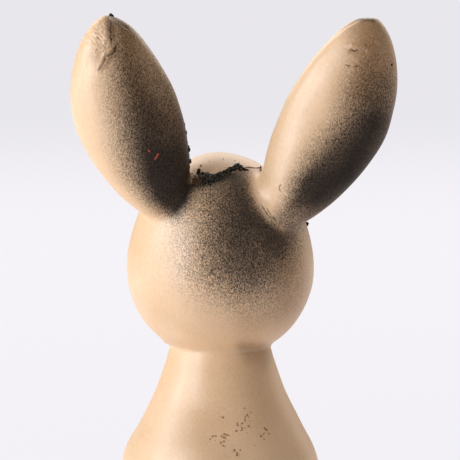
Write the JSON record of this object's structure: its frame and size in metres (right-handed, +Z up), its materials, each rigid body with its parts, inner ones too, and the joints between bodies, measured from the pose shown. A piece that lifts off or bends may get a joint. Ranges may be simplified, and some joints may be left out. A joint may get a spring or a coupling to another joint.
{
  "type": "vinyl rabbit figure",
  "caption": "Sitting soft-vinyl rabbit toy with a pear body, egg head, tall almond ears and plug-in limbs that turn, and a squeaker in its flat base.",
  "frame": {"origin": "centre of the flat base that the figure stands on", "axes": "+Z up, the rabbit faces -Y, its own left side is +X"},
  "size_m": [0.0968, 0.0773, 0.1705],
  "materials": {
    "soft_vinyl": "aged cream soft vinyl with a satin sheen and dark brown sprayed shading",
    "squeaker_plastic": "moulded off-white polyethylene",
    "squeaker_insert": "moulded ivory polystyrene",
    "reed_brass": "thin rolled brass strip"
  },
  "bodies": {
    "body": {"body_shell": "soft_vinyl", "tail": "soft_vinyl", "squeaker_cup": "squeaker_plastic", "squeaker_reed_holder": "squeaker_insert", "squeaker_reed": "reed_brass", "squeaker_cap": "squeaker_insert"},
    "head": {"head_shell": "soft_vinyl", "left_ear": "soft_vinyl", "right_ear": "soft_vinyl"},
    "left_arm": {"left_arm": "soft_vinyl"},
    "right_arm": {"right_arm": "soft_vinyl"},
    "left_leg": {"left_leg": "soft_vinyl"},
    "right_leg": {"right_leg": "soft_vinyl"}
  },
  "joints": [
    {"name": "neck_turn", "type": "hinge", "parent": "body", "child": "head", "pos_m": [0, 0, 0.0704], "axis": [0, 0, 1], "continuous": true},
    {"name": "left_arm_swing", "type": "hinge", "parent": "body", "child": "left_arm", "pos_m": [0.00932, -0.01911, 0.05055], "axis": [0.3918, -0.8032, 0.4487], "range_deg": [-8, 85]},
    {"name": "right_arm_swing", "type": "hinge", "parent": "body", "child": "right_arm", "pos_m": [-0.00932, -0.01911, 0.05055], "axis": [0.3918, 0.8032, -0.4487], "range_deg": [-8, 85]},
    {"name": "left_leg_turn", "type": "hinge", "parent": "body", "child": "left_leg", "pos_m": [0.0272, 0, 0.015], "axis": [-1, 0, 0], "continuous": true},
    {"name": "right_leg_turn", "type": "hinge", "parent": "body", "child": "right_leg", "pos_m": [-0.0272, 0, 0.015], "axis": [-1, 0, 0], "continuous": true}
  ]
}
